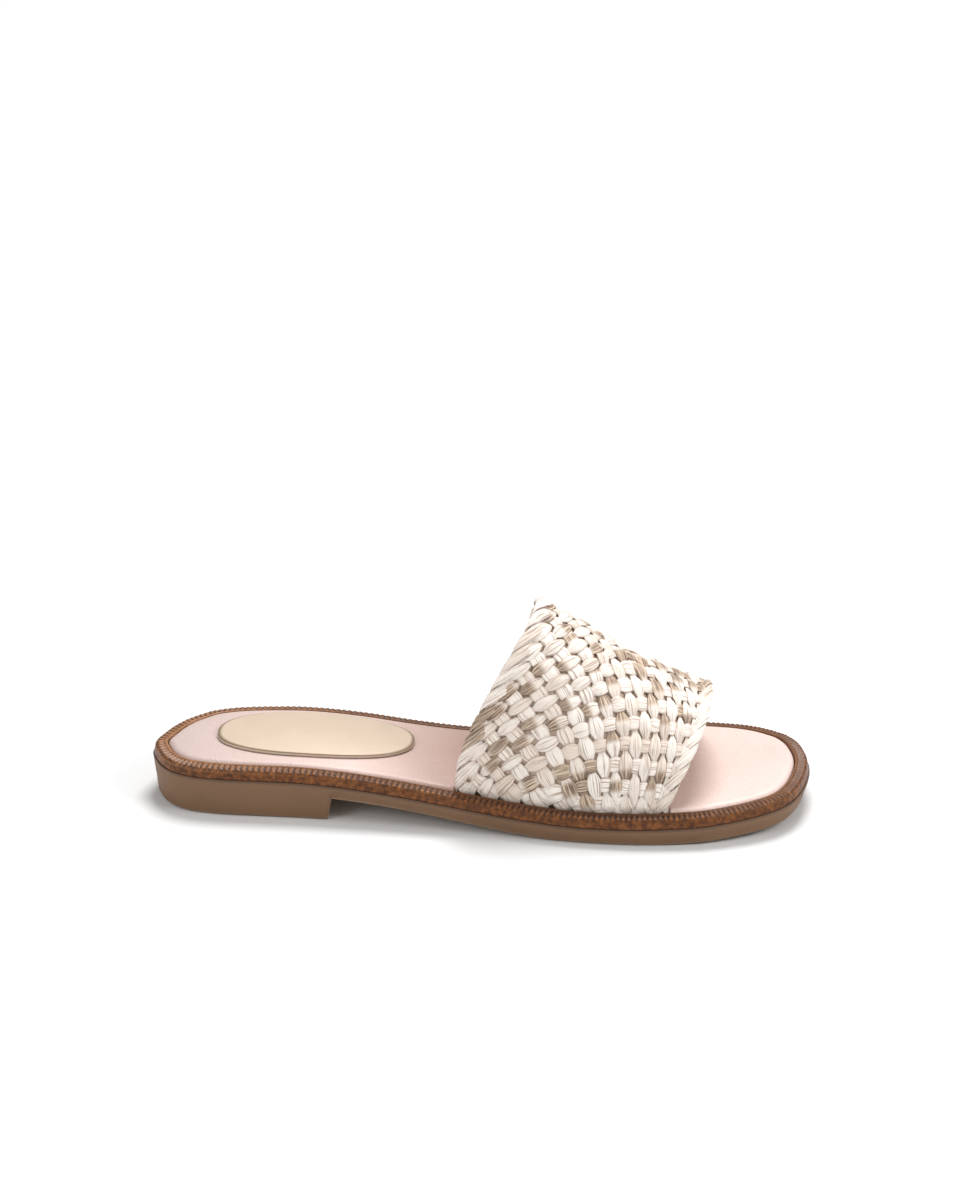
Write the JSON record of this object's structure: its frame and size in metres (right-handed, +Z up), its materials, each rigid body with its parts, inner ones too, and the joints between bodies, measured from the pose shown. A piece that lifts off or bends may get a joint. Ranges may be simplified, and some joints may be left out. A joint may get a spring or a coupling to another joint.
{
  "type": "slide sandal",
  "caption": "Flat slide sandal for a right foot with a wide woven band upper, padded footbed with an oval heel patch, welt and a moulded sole with a low heel.",
  "frame": {"origin": "centre of the footprint on the ground, at the underside of the sole", "axes": "+X to the toe, +Y to the inner (medial) side, +Z up"},
  "size_m": [0.25, 0.0884, 0.0801],
  "materials": {
    "sole_rubber": "matte",
    "welt_leather": "satin",
    "footbed_leather": "satin",
    "patch_leather": "metallic foil",
    "woven_fibre": "satin"
  },
  "bodies": {
    "root": {"outsole": "sole_rubber", "welt": "welt_leather", "insole": "footbed_leather", "heel_patch": "patch_leather", "upper": "woven_fibre"}
  },
  "joints": []
}
